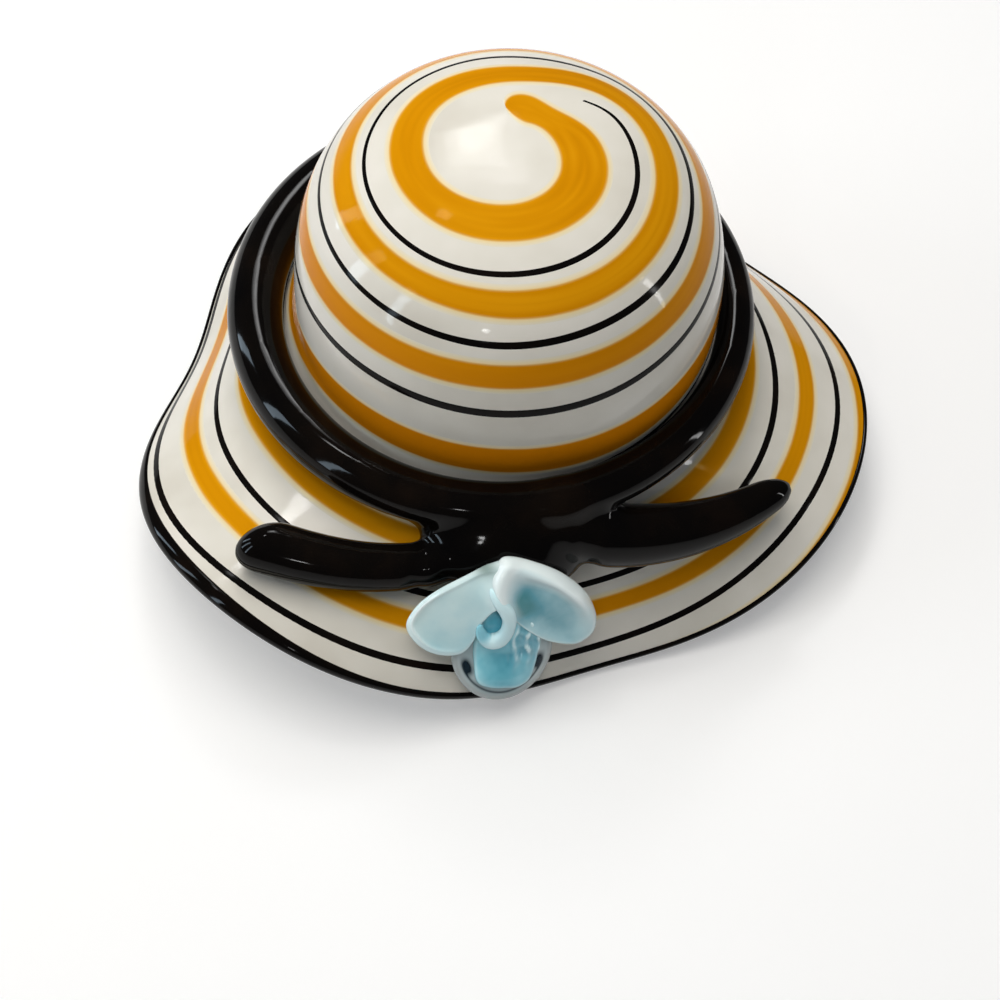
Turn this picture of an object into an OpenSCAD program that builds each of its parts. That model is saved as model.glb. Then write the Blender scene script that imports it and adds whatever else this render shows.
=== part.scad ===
// Blown glass hat: an opal shell with two spiral trails laid flush in it, a lip wrap,
// a hot-formed band with a knotted bow, and a flower of pressed bits at the front.
// Angles go clockwise seen from above: 0 is to the right, 90 is the front.

/* [Crown] */
// Radius of the crown at its widest line
crown_r = 64; // [50:1:80]
// Height of the dome above the widest line
crown_h = 66; // [50:1:80]
// Squareness of the dome, where 2 is a plain ellipse
crown_square = 2.9; // [2:0.1:3.6]
// Thickness of the blown wall
wall = 4; // [3:0.25:6]

/* [Brim] */
// Straight wall below the widest line
neck_drop = 1; // [0:0.5:6]
// Radius of the hollow curve from crown to brim
neck_fillet = 20; // [17:0.5:26]
// Glass from the widest line out to the cut edge, along the surface
brim_run = 70; // [62:1:84]
// Depth of the three low lobes below the widest line
lobe_drop = 60; // [50:1:62]
// Direction of the first low lobe
lobe_at = 67; // [0:1:119]
// Rise of the edge between two lobes, on average
lift_mean = 19.5; // [8:0.5:24]
// How much more it rises towards one side
lift_swing = 12.5; // [0:0.5:14]
// Side with the most rise
lift_at = 107; // [0:1:359]
// Second, oval part of the rise
lift_oval = 5; // [0:0.5:6]
// Direction of the oval part
lift_oval_at = 155; // [0:1:179]

/* [Lip wrap] */
// How far the wrap stands out past the cut edge
lip_out = 2.4; // [1.5:0.1:4]
// Lap of the wrap over both faces of the wall
lip_lap = 0.6; // [0.2:0.1:1.2]
// Extra width where the thread was doubled
lip_extra = 2.2; // [0:0.1:4]
// Middle of the doubled stretch
lip_extra_at = 138; // [0:1:359]
// Half the angle of the doubled stretch
lip_extra_half = 40; // [20:1:48]
// Depth ground off the low lobes so that the hat stands firm
rest_cut = 0.5; // [0.3:0.1:1]

/* [Trails] */
// Depth of both trails in the shell
trail_depth = 0.8; // [0.4:0.1:1.5]
// Direction in which the amber trail starts
trail_start = 251; // [0:1:359]
// Step of a trail in one turn, as it passes the front
trail_lead = 20; // [14:1:26]
// Amber at the front on the crown, along the glass from the top
amber_crown = [25, 46, 68, 102]; // [0:1:120]
// Amber at the front on the brim, along the glass from the widest line
amber_brim = [26, 49, 70]; // [10:1:90]
// Amber width at those crossings on the crown
amber_crown_w = [11, 8.7, 8.2, 11.7]; // [2:0.1:14]
// Amber width at those crossings on the brim
amber_brim_w = [7.5, 6, 6]; // [2:0.1:10]
// Black thread at the front on the crown, along the glass from the top
black_crown = [40, 59, 81, 116]; // [0:1:125]
// Black thread at the front on the brim, along the glass from the widest line
black_brim = [41, 62]; // [10:1:90]
// Width of the black thread
black_w = 2; // [1:0.1:3]

/* [Hat band] */
// Mean radius of the band's rod
band_rod = 6; // [4:0.1:7]
// How much the rod swells towards one side and thins on the other
band_swell = 0.9; // [0:0.1:1.5]
// Side where the rod is thickest
band_swell_at = 150; // [0:1:359]
// Mean angle up the hollow curve at which the rod lies
band_seat = 29; // [15:1:45]
// How much further out it lies on the slack side
band_slack = 22; // [0:1:25]
// Slack side of the band
band_slack_at = 205; // [0:1:359]
// Room between a bit of glass and what it sits on
seat = 0.5; // [0.3:0.1:1]

/* [Bow] */
// Direction of the bow and flower
bow_at = 85; // [60:1:110]
// Half the angle that the knot covers
knot_half = 16; // [12:0.5:20]
// Height of the knot over the brim
knot_h = 13.5; // [11:0.5:16]
// Run of the knot's middle down the brim, from the widest line
knot_run = 34; // [30:0.5:36]
// Run down the brim to the left tail's root
tail_left_run = 32.5; // [30:0.5:36]
// Radius of the left tail at the knot
tail_left_root_r = 6.8; // [5:0.1:7.5]
// Radius of the left tail's blunt end
tail_left_r = 6.8; // [4:0.1:8]
// Angle that the left tail covers
tail_left_sweep = 30; // [18:1:36]
// How far the left tail drifts down the brim
tail_left_fall = 23; // [10:1:25]
// Run down the brim to the right tail's root
tail_right_run = 21.5; // [20:0.5:26]
// Radius of the right tail at the knot
tail_right_root_r = 8.6; // [6:0.1:9]
// Radius of the right tail near its end
tail_right_r = 5; // [2:0.1:7]
// Angle that the right tail covers
tail_right_sweep = 43; // [25:1:50]
// How far the right tail drifts down the brim
tail_right_fall = 25; // [10:1:30]
// Height that the right tail's end curls up
tail_curl = 5; // [0:0.5:10]

/* [Flower] */
// Run down the brim to the flower's middle, from the widest line
flower_run = 42; // [40:1:46]
// Radius of the clear lower petal
lip_petal_r = 15; // [10:0.5:16]
// How far the lower petal reaches past the cut edge
lip_petal_over = 1.5; // [0:0.5:3]
// Thickness of the lower petal
lip_petal_t = 3; // [2:0.2:4]
// Reach of a side petal across the brim
petal_l = 28.5; // [24:0.5:34]
// Half the height of a side petal up the brim
petal_h = 14.5; // [10:0.5:18]
// Thickness of a side petal
petal_t = 2.6; // [1.5:0.1:4]
// Height of the hood that the two side petals make, to its underside
hood_h = 15; // [14:0.2:20]
// Half width of the aqua throat
throat_w = 8; // [5:0.5:9]
// Half length of the aqua throat
throat_l = 10; // [7:0.5:11]
// Height of the aqua throat
throat_h = 3.8; // [2:0.2:5]
// Radius of the curled nub
nub_r = 3.2; // [2:0.1:4]

/* [Hidden] */
opal = "#e8e6e0";
amber = "#d8940e";
black = "#16120e";
ice = "#c9e0e6";
aqua = "#6fb4c4";
// stations round one turn, a multiple of three so that the three lobes are alike
steps = 45;
sides = 16;
deg = PI / 180;

// Dome profile: radius, height and slope by distance along the glass
dome_n = 72;
dome_pts = [for (i = [0:dome_n]) let (t = 90 * i / dome_n)
    [crown_r * pow(sin(t), 2 / crown_square), crown_h * pow(cos(t), 2 / crown_square)]];
dome_len = [for (i = 0, s = 0; i <= dome_n; i = i + 1,
    s = i <= dome_n ? s + norm(dome_pts[i] - dome_pts[i - 1]) : s) s];
dome_r = [for (i = [0:dome_n]) [dome_len[i], dome_pts[i].x]];
dome_z = [for (i = [0:dome_n]) [dome_len[i], dome_pts[i].y]];
dome_slope = concat([[0, 0]], [for (i = [1:dome_n - 1]) let (d = dome_pts[i + 1] - dome_pts[i - 1])
    [dome_len[i], atan2(-d.y, d.x)]], [[dome_len[dome_n], 90]]);
s_wide = dome_len[dome_n] + neck_drop;
s_edge = s_wide + brim_run;

// Brim: the slope in each direction that brings the edge to its height there
function edge_z(slope) = let (turn = (90 - slope) * deg * neck_fillet)
    -neck_drop - neck_fillet * cos(slope) - (brim_run - turn) * sin(slope);
slope_by_z = [for (slope = [88:-1:0]) [edge_z(slope), slope]];
function edge_lift(a) =
    lift_mean + lift_swing * cos(a - lift_at) + lift_oval * cos(2 * (a - lift_oval_at));
function edge_height(a) = edge_lift(a) * (1 - cos(3 * (a - lobe_at))) / 2 - lobe_drop;
function brim_slope(a) = lookup(edge_height(a), slope_by_z);

// Radius, height and slope of the surface at a distance along the glass
function profile(s, a) =
    s < s_wide ? [lookup(s, dome_r), lookup(s, dome_z) - max(0, s - s_wide + neck_drop), lookup(s, dome_slope)]
    : let (end = brim_slope(a), run = s - s_wide, bent = min(run / neck_fillet / deg, 90 - end),
        flat = run - bent * deg * neck_fillet)
    [crown_r + neck_fillet * (1 - cos(bent)) + flat * cos(end),
        -neck_drop - neck_fillet * sin(bent) - flat * sin(end), 90 - bent];
function around(r, a, z) = [r * cos(a), -r * sin(a), z];
// Point at a height over the glass
function over(s, a, h) = let (p = profile(s, a)) around(p[0] + h * sin(p[2]), a, p[1] + h * cos(p[2]));

// Section of the lip wrap at one station: the corners of the wall's cut edge, then the half circle round it
lip_sides = 8;
function lip_width(a) = let (away = abs(((a - lip_extra_at + 540) % 360) - 180))
    lip_out + lip_extra * (away < lip_extra_half ? (1 + cos(180 * away / lip_extra_half)) / 2 : 0);
function lip_ring(a) = concat([over(s_edge, a, 0), over(s_edge, a, -wall)],
    [for (j = [0:lip_sides]) let (t = 180 * j / lip_sides)
        over(s_edge + lip_width(a) * sin(t), a, -(wall / 2 + lip_lap) * cos(t) - wall / 2)]);
function station(k) = trail_start + 360 * (k % steps) / steps;

// The part's origin is under the middle of its outline, on the plane that it rests on
rim = [for (k = [0:steps - 1]) each lip_ring(station(k))];
rim_x = [for (p = rim) p.x];
rim_y = [for (p = rim) p.y];
foot = [(min(rim_x) + max(rim_x)) / 2, (min(rim_y) + max(rim_y)) / 2, min([for (p = rim) p.z]) + rest_cut];
module in_frame() translate(-foot) children();

// Polyhedron of the faces that have three different corners
function apart(a, b, c) = a != b && b != c && c != a;
module faceted(pts, faces) {
    polyhedron(pts, [for (f = faces) if (apart(pts[f[0]], pts[f[1]], pts[f[2]])) f]);
}
function quad(a, b, c, d) = [[a, b, c], [a, c, d]];
function flatten(rows) = [for (row = rows) each row];
// Skin over rings of equal count, closed round each ring and, where looped, back to the first
module loft(rings, looped = false) {
    n = len(rings[0]);
    m = len(rings);
    faceted(flatten(rings), flatten([for (i = [0:m - (looped ? 1 : 2)]) for (j = [0:n - 1])
        let (e = (i + 1) % m * n, f = i * n, g = (j + 1) % n)
        quad(f + j, e + j, e + g, f + g)]));
}
// Ring that has shrunk to its middle, which closes a loft
function closing(ring) = let (mid = [for (p = ring) 1] * ring / len(ring)) [for (p = ring) mid];

// Trails: distance along the glass at any turn, counted from the first crossing of the front
first_front = ((90 - trail_start + 360) % 360) / 360;
// share of the lead in the part turn before that crossing, and the swell of the amber there
start_lead = 0.75;
start_swell = 1.5;
amber_s = concat([amber_crown[0] - trail_lead * start_lead], amber_crown,
    [for (run = amber_brim) s_wide + run]);
amber_w = concat([amber_crown_w[0] * start_swell], amber_crown_w, amber_brim_w);
black_s = concat([black_crown[0] - trail_lead], black_crown, [for (run = black_brim) s_wide + run]);
function listed(list, i, lead) = i < len(list) ? list[i] : list[len(list) - 1] + lead * (i + 1 - len(list));
function ease(t) = t * t * (3 - 2 * t);
// Value at a turn, which leaves each listed crossing at the same lead
function at_turn(list, turn, lead) = let (i = floor(turn), t = turn - i,
    p = listed(list, i, lead), q = listed(list, i + 1, lead)) p + lead * t + (q - p - lead) * ease(t);
turns = len(amber_s) + 1 + ceil(max(0, s_edge - amber_s[len(amber_s) - 1]) / trail_lead);
last = turns * steps;
function turn_of(k) = k / steps + 1 - first_front;
// Round start of a trail: its share of the full width at a turn after its start
function start_share(turn, length) = turn <= 0 ? 0 : turn >= length ? 1 : sqrt(1 - pow(1 - turn / length, 2));
amber_round = 0.3;
black_late = 0.18;
black_round = 0.06;
function amber_half(k) = at_turn(amber_w, turn_of(k), 0) / 2 * start_share(k / steps, amber_round);
function black_half(k) = black_w / 2 * start_share(k / steps - black_late, black_round);
// Both trails get thinner as they run out over the edge
function trail_floor(s) = -trail_depth * max(0, min(1, (s_edge - s) / (2 * trail_depth)));
function trail_point(k, s, sunk) = let (c = min(s, s_edge)) over(c, station(k), sunk ? trail_floor(c) : 0);
// Distances of the amber's inner edge, middle and outer edge, and of the black's two edges
function amber_lines(k) = let (s = at_turn(amber_s, turn_of(k), trail_lead), w = amber_half(k))
    [s - w, s, s + w];
function black_lines(k) = let (s = at_turn(black_s, turn_of(k), trail_lead), w = black_half(k))
    [s - w, s + w];

// One turn's strip of the shell: the amber groove, white, the black groove and white again
function strip(k) = let (am = amber_lines(k), bl = black_lines(k), next = amber_lines(k + steps)[0],
        closed_am = amber_half(k) == 0, closed_bl = black_half(k) == 0) [
    trail_point(k, am[0], false),
    trail_point(k, am[0], !closed_am),
    trail_point(k, am[1], !closed_am),
    trail_point(k, am[2], !closed_am),
    trail_point(k, am[2], false),
    trail_point(k, (am[2] + bl[0]) / 2, false),
    trail_point(k, bl[0], false),
    trail_point(k, bl[0], !closed_bl),
    trail_point(k, bl[1], !closed_bl),
    trail_point(k, bl[1], false),
    trail_point(k, bl[1] + (next - bl[1]) / 3, false),
    trail_point(k, bl[1] + (next - bl[1]) * 2 / 3, false)];
strip_n = 12;
inner_rows = 16;
button_s = 8;

module opal_shell() {
    strips = flatten([for (k = [0:last + steps]) strip(k)]);
    button = [for (k = [0:steps - 1]) over(button_s, station(k), 0)];
    inner = [for (i = [1:inner_rows]) for (k = [0:steps - 1])
        over(s_edge * i / inner_rows, station(k), -wall)];
    // first index of each group of points
    b0 = len(strips);
    i0 = b0 + steps;
    top = i0 + inner_rows * steps;
    // the last line of a strip is the first line of the next turn
    function line(k, j) = j < strip_n ? k * strip_n + j : (k + steps) * strip_n;
    function ring(start, k) = start + k % steps;
    r0 = i0 + (inner_rows - 1) * steps;
    edge0 = last * strip_n;
    color(opal) in_frame() faceted(
        concat(strips, button, inner, [over(0, 0, 0), over(0, 0, -wall)]),
        concat(
            flatten([for (k = [0:last - 1]) for (j = [0:strip_n - 1])
                quad(line(k, j), line(k, j + 1), line(k + 1, j + 1), line(k + 1, j))]),
            flatten([for (k = [0:steps - 2]) quad(ring(b0, k), line(k, 0), line(k + 1, 0), ring(b0, k + 1))]),
            [for (j = [0:strip_n - 1]) [line(steps - 1, 0), line(0, j + 1), line(0, j)]],
            quad(ring(b0, steps - 1), line(steps - 1, 0), line(0, 0), ring(b0, 0)),
            [for (k = [0:steps - 1]) [top, ring(b0, k), ring(b0, k + 1)]],
            [for (k = [0:steps - 1]) [top + 1, ring(i0, k + 1), ring(i0, k)]],
            flatten([for (i = [0:inner_rows - 2]) for (k = [0:steps - 1]) let (f = i0 + i * steps)
                quad(ring(f, k), ring(f, k + 1), ring(f + steps, k + 1), ring(f + steps, k))]),
            flatten([for (k = [0:steps - 1]) quad(edge0 + k * strip_n, ring(r0, k), ring(r0, k + 1),
                edge0 + (k + 1) % steps * strip_n)])));
}

module amber_trail() {
    color(amber) in_frame() loft([for (k = [0:last]) let (s = amber_lines(k), cut = amber_half(k) > 0)
        [trail_point(k, s[0], cut), trail_point(k, s[1], cut), trail_point(k, s[2], cut),
            trail_point(k, s[2], false), trail_point(k, s[1], false), trail_point(k, s[0], false)]]);
}

module black_trail() {
    color(black) in_frame() loft([for (k = [floor(black_late * steps):last]) let (s = black_lines(k),
        cut = black_half(k) > 0)
        [trail_point(k, s[0], cut), trail_point(k, s[1], cut), trail_point(k, s[1], false),
            trail_point(k, s[0], false)]]);
}

module lip_wrap() {
    far = crown_r + brim_run + lip_out + lip_extra;
    color(black) difference() {
        in_frame() loft([for (k = [0:steps - 1]) lip_ring(station(k))], true);
        translate([-far, -far, -far]) cube([2 * far, 2 * far, far]);
    }
}

// Rod of the band where it rests in the hollow curve between crown and brim
function band_r(a) = band_rod + band_swell * cos(a - band_swell_at);
function band_ring(a) = let (rod = band_r(a), g = band_seat + band_slack * cos(a - band_slack_at),
    off = neck_fillet - rod - seat, r = crown_r + neck_fillet - off * cos(g), z = -neck_drop - off * sin(g))
    [for (j = [0:sides - 1]) let (t = 360 * j / sides) around(r + rod * cos(t), a, z + rod * sin(t))];
band_steps = 40;

module hat_band() {
    from = bow_at + knot_half;
    rings = [for (i = [0:band_steps]) band_ring(from + (360 - 2 * knot_half) * i / band_steps)];
    color(black) in_frame() loft(concat([closing(rings[0])], rings, [closing(rings[band_steps])]));
}

// Section of a bit that lies on the brim: middle of its run, half run and height, with roundness 1 for an oval
function bulged(c, round) = sign(c) * pow(abs(c), round);
function bit_ring(a, run, half, h, round = 1, lifted = 0) = [for (j = [0:sides - 1]) let (t = 360 * j / sides)
    over(s_wide + run + half * bulged(cos(t), round), a, seat + lifted + h / 2 * (1 + bulged(sin(t), round)))];

// The knot lies between two flat ends, where the band and the tails meet it: t is 1 at the left end
knot_round = 0.7;
knot_steps = 12;
function knot_reach(t) =
    let (tail = t > 0 ? tail_left_run + tail_left_root_r : tail_right_run + tail_right_root_r)
    knot_run + (tail + seat - knot_run) * t * t;
function knot_height(t) = let (tail = 2 * (t > 0 ? tail_left_root_r : tail_right_root_r))
    knot_h + (tail + seat - knot_h) * t * t;
function knot_ring(t) =
    bit_ring(bow_at + t * knot_half, knot_reach(t) / 2, knot_reach(t) / 2, knot_height(t), knot_round);
// Top of the knot over a place on the brim
function knot_top(run, a) = let (t = (a - bow_at) / knot_half, u = abs(2 * run / knot_reach(t) - 1))
    abs(t) > 1 || u > 1 ? 0
    : seat + knot_height(t) / 2 * (1 + pow(1 - pow(u, 2 / knot_round), knot_round / 2));

module bow_knot() {
    rings = [for (i = [0:knot_steps]) knot_ring(2 * i / knot_steps - 1)];
    color(black) in_frame() loft(concat([closing(rings[0])], rings, [closing(rings[knot_steps])]));
}

// A tail leaves the knot's flat end and lies out along the brim to a rounded end: t is 1 at its end
tail_steps = 16;
tail_round_from = 0.82;
function tail_ring(t, side, run, fall, sweep, root_r, end_r, curl) = let (
    full = root_r + (end_r - root_r) * t * t, tip = max(0, (t - tail_round_from) / (1 - tail_round_from)),
    r = full * sqrt(max(0, 1 - tip * tip)))
    bit_ring(bow_at + side * (knot_half + sweep * t), run + fall * t, r, 2 * r, 1,
        curl * t * t * t + full - r);
module tail(side, run, fall, sweep, root_r, end_r, curl) {
    rings = [for (i = [0:tail_steps]) tail_ring(i / tail_steps, side, run, fall, sweep, root_r, end_r, curl)];
    outward = concat([closing(rings[0])], rings);
    color(black) in_frame() loft(side > 0 ? outward : [for (i = [tail_steps + 1:-1:0]) outward[i]]);
}
module bow_tail_left() {
    tail(1, tail_left_run, tail_left_fall, tail_left_sweep, tail_left_root_r, tail_left_r, 0);
}
module bow_tail_right() {
    tail(-1, tail_right_run, tail_right_fall, tail_right_sweep, tail_right_root_r, tail_right_r, tail_curl);
}

// Point of the flower: across the brim, up the brim from the flower's middle, and height over the glass
function flower_point(x, y, h) = let (s = s_wide + flower_run - y, r = profile(s, bow_at)[0])
    over(s, bow_at + x / (r * deg), h);
// Leaf of glass with a round edge: its outline by angle, and its underside by place
petal_sides = 28;
leaf_rings = [0, 0.3, 0.55, 0.75, 0.88, 0.97, 1];
module leaf(outline, under, thick) {
    function leaf_ring(f, upper) = [for (j = [0:petal_sides - 1]) let (p = outline(360 * j / petal_sides, f),
        half = thick / 2, round = half * sqrt(1 - pow(f, 8)))
        flower_point(p.x, p.y, under(p.x, p.y) + half + (upper ? round : -round))];
    n = len(leaf_rings);
    in_frame() loft(concat([for (f = leaf_rings) leaf_ring(f, true)],
        [for (i = [n - 2:-1:0]) leaf_ring(leaf_rings[i], false)]));
}

lip_petal_y = flower_run + lip_petal_r - brim_run - lip_petal_over;
lip_petal_h = lip_lap + seat;
module lip_petal() {
    color(ice, 0.6) leaf(
        function(t, f) [lip_petal_r * f * cos(t), lip_petal_r * f * sin(t) + lip_petal_y],
        function(x, y) lip_petal_h, lip_petal_t);
}

throat_drop = 1;
throat_y = lip_petal_y - throat_drop;
throat_under = lip_petal_h + lip_petal_t + seat;
module flower_throat() {
    color(aqua, 0.8) leaf(
        function(t, f) [throat_w * f * cos(t), throat_l * f * sin(t) + throat_y],
        function(x, y) throat_under, throat_h);
}

// Underside of the hood of side petals, high over the knot and low at its skirts
hood_low = 4.6;
hood_from = -20;
hood_to = 8;
function hood(x, y) = let (
    rise = ease(max(0, min(1, (y - hood_from) / (hood_to - hood_from)))),
    bare = hood_low + (hood_h - hood_low) * rise * (1 - pow(x / petal_l, 2) / 2),
    run = flower_run - y,
    bow = knot_top(run, bow_at + x / (profile(s_wide + run, bow_at)[0] * deg)))
    max(bare, bow > 0 ? bow + seat : 0);
// The two petals meet on a line that opens below the nub, so that the throat shows
petal_lean = 0.5;
parting_from = -4;
parting_spread = 0.9;
module petal(side) {
    mid = petal_l / 3;
    color(ice, 0.9) leaf(
        function(t, f) let (across = (petal_l - mid) * f * cos(t),
            y = petal_h * f * sin(side * t) - petal_lean * across)
            [side * max(mid + across, seat / 2 + parting_spread * max(0, parting_from - y)), y],
        function(x, y) hood(x, y), petal_t);
}
module petal_left() petal(1);
module petal_right() petal(-1);

nub_y = -4;
module flower_nub() {
    h = hood(0, nub_y) + petal_t + nub_r + seat;
    color(aqua, 0.9) in_frame() translate(flower_point(0, nub_y, h)) sphere(nub_r, $fn = 32);
}

opal_shell();
amber_trail();
black_trail();
lip_wrap();
hat_band();
bow_knot();
bow_tail_left();
bow_tail_right();
lip_petal();
flower_throat();
petal_left();
petal_right();
flower_nub();
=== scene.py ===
import math

import bmesh
import bpy
import numpy as np
from mathutils import Matrix, Vector


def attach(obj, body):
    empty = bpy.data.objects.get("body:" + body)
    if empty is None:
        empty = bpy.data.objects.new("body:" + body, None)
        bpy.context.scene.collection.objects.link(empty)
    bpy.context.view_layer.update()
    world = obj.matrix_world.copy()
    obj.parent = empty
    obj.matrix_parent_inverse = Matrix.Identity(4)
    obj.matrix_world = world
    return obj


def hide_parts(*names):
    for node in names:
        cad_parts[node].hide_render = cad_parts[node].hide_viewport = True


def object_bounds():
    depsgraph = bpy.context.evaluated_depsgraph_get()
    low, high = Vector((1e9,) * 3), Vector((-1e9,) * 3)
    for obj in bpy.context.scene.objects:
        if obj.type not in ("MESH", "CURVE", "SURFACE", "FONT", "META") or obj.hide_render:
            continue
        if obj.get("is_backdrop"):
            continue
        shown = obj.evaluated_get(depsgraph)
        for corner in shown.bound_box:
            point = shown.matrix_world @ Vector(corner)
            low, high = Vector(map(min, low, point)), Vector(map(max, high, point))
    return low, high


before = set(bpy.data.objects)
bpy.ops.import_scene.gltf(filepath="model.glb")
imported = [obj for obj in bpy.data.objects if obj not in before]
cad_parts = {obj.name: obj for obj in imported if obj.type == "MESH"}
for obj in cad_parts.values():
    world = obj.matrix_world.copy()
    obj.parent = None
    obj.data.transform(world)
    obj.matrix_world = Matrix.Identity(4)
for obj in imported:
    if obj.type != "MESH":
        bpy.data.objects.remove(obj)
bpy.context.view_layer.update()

scene = bpy.context.scene
mm = 0.001
degree = math.pi / 180
crownCentre = (-5.0505, 5.4060, 63.0801)  # crown axis at its widest line, mm


def linear(colour):  # sRGB hex to linear colour
    parts = [int(colour[i:i + 2], 16) / 255 for i in (1, 3, 5)]
    return [c / 12.92 if c <= 0.04045 else ((c + 0.055) / 1.055) ** 2.4 for c in parts] + [1.0]


def addNode(tree, kind, feeds=(), **settings):  # feeds are sockets, nodes or plain values, by place or by name
    node = tree.nodes.new(kind)
    stops = settings.pop("stops", ())  # a ramp's places and hex colours
    for setting, value in settings.items():
        setattr(node, setting, value)
    for number, (place, colour) in enumerate(stops):
        if number > 1:
            node.color_ramp.elements.new(1.0)
        element = node.color_ramp.elements[number]
        element.position, element.color = place, linear(colour)
    sockets = [s for s in node.inputs if s.enabled]
    for key, feed in (feeds.items() if isinstance(feeds, dict) else enumerate(feeds)):
        socket = sockets[key] if isinstance(key, int) else next(s for s in sockets if s.name == key)
        if isinstance(feed, bpy.types.Node):
            feed = next(s for s in feed.outputs if s.enabled)
        if isinstance(feed, bpy.types.NodeSocket):
            tree.links.new(feed, socket)
        else:
            socket.default_value = feed
    return node


def newTree(name, inputs):  # a geometry tree with its named inputs
    tree = bpy.data.node_groups.new(name, "GeometryNodeTree")
    for label, kind in inputs:
        tree.interface.new_socket(label, in_out="INPUT", socket_type="NodeSocket" + kind)
    tree.interface.new_socket("Geometry", in_out="OUTPUT", socket_type="NodeSocketGeometry")
    return tree, addNode(tree, "NodeGroupInput").outputs


def closeTree(tree, geometry, material):  # smooth, real geometry with its material
    smooth = addNode(tree, "GeometryNodeSetShadeSmooth", [geometry])
    real = addNode(tree, "GeometryNodeRealizeInstances", [smooth])
    painted = addNode(tree, "GeometryNodeSetMaterial", {"Geometry": real, "Material": material})
    addNode(tree, "NodeGroupOutput", [painted])


def newObject(name, mesh):
    obj = bpy.data.objects.new(name, mesh)
    scene.collection.objects.link(obj)
    return obj


def grow(obj, tree, values):  # runs a tree on an object
    modifier = obj.modifiers.new(tree.name, "NODES")
    modifier.node_group = tree
    for item in tree.interface.items_tree:
        if item.in_out == "INPUT" and item.name in values:
            modifier[item.identifier] = values[item.name]
    return settle(obj)


def settle(obj):  # live modifiers become a plain mesh
    bpy.context.view_layer.update()
    graph = bpy.context.evaluated_depsgraph_get()
    mesh = bpy.data.meshes.new_from_object(obj.evaluated_get(graph), preserve_all_data_layers=True, depsgraph=graph)
    obj.modifiers.clear()
    obj.data = mesh
    mesh.name = obj.name
    return obj


def faceOut(obj, weld=0.0):  # doubles merged, faces outwards
    shape = bmesh.new()
    shape.from_mesh(obj.data)
    if weld:
        bmesh.ops.remove_doubles(shape, verts=shape.verts, dist=weld)
    bmesh.ops.recalc_face_normals(shape, faces=shape.faces)
    shape.to_mesh(obj.data)
    shape.free()
    obj.data.polygons.foreach_set("use_smooth", [True] * len(obj.data.polygons))
    return obj


def hand(obj, slot, *nodes):  # gives a finished piece to the frame
    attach(obj, "root")
    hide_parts(*nodes)
    print("piece", obj.name, len(obj.data.polygons), "faces")


# Materials

# Cloud and ripple are sizes in mm, waver is the bump's height, and the point marks colour the glass
def startGlass(name, cloud, ripple, waver, marks=(), **sockets):
    material = bpy.data.materials.new(name)
    material.use_nodes = True
    tree = material.node_tree
    tree.nodes.clear()
    where = addNode(tree, "ShaderNodeTexCoord").outputs["Object"]
    clouds = addNode(tree, "ShaderNodeTexNoise", {"Vector": where, "Scale": 1 / (cloud * mm), "Detail": 3.0})
    ripples = addNode(tree, "ShaderNodeTexNoise", {"Vector": where, "Scale": 1 / (ripple * mm), "Detail": 1.0})
    bump = addNode(tree, "ShaderNodeBump", {"Strength": 1.0, "Distance": waver * mm, "Height": ripples.outputs[0]})
    feeds = {key.replace("_", " "): value for key, value in sockets.items()}
    shader = addNode(tree, "ShaderNodeBsdfPrincipled", {**feeds, "Normal": bump})
    addNode(tree, "ShaderNodeOutputMaterial", [shader])
    marks = [addNode(tree, "ShaderNodeAttribute", attribute_name=mark).outputs["Fac"] for mark in marks]
    return material, tree, shader, clouds.outputs[0], *marks


# Opal glass, blown: milk white in the mass, faintly cloudy, with a fire-polished skin that wavers
opalGlass, tree, shader, clouds = startGlass(
    "opalGlass", 34.0, 9.0, 0.06, Roughness=0.065, IOR=1.5, Specular_IOR_Level=0.16)
tree.links.new(addNode(tree, "ShaderNodeValToRGB", [clouds], stops=[
    (0.32, "#DDD8CC"), (0.5, "#E7E3D8"), (0.7, "#EFEBE2")]).outputs[0], shader.inputs["Base Color"])

# Amber glass trail, laid hot on the white: deep honey where it is thick, pale yellow where its edge runs thin,
# with a faint golden gloss, and a painted shade that turns upright walls a deeper orange
amberGlass, tree, shader, clouds, edge, drawn = startGlass(
    "amberGlass", 26.0, 9.0, 0.06, ("rim", "along"), Roughness=0.065, IOR=1.5, Specular_IOR_Level=0.06,
    Specular_Tint=linear("#FFDF8C"))
drawn = addNode(tree, "ShaderNodeMath", [drawn, 14.0], operation="MULTIPLY")  # streaks last about a sixth of a turn
streak = addNode(tree, "ShaderNodeCombineXYZ", [drawn, edge, 0.0])
streaks = addNode(tree, "ShaderNodeTexNoise", {"Vector": streak, "Scale": 0.3, "Detail": 1.0}).outputs[0]
honey = addNode(tree, "ShaderNodeValToRGB", [streaks], stops=[(0.3, "#D28804"), (0.5, "#DA9006"), (0.7, "#E1990C")])
facesTo = addNode(tree, "ShaderNodeNewGeometry").outputs["Normal"]
level = addNode(tree, "ShaderNodeSeparateXYZ", [facesTo]).outputs["Z"]
wallShade = addNode(tree, "ShaderNodeMapRange", [level, 0.85, 0.1, 0.0, 1.0])  # painted shade: upright walls turn a deeper orange
honey = addNode(tree, "ShaderNodeMix", {"Factor": wallShade, "A": honey, "B": linear("#DE8607")},
                data_type="RGBA").outputs[2]
frayed = addNode(tree, "ShaderNodeMath", [clouds, 0.2, -0.1], operation="MULTIPLY_ADD")  # clouds fray the edge
frayed = addNode(tree, "ShaderNodeMath", [edge, 1 / 3, frayed], operation="MULTIPLY_ADD")  # 1 is 3 mm in from the edge
thin = addNode(tree, "ShaderNodeValToRGB", [frayed], stops=[(0.62, "#FFFFFF"), (0.76, "#9A9A9A"), (0.9, "#000000")])
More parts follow.
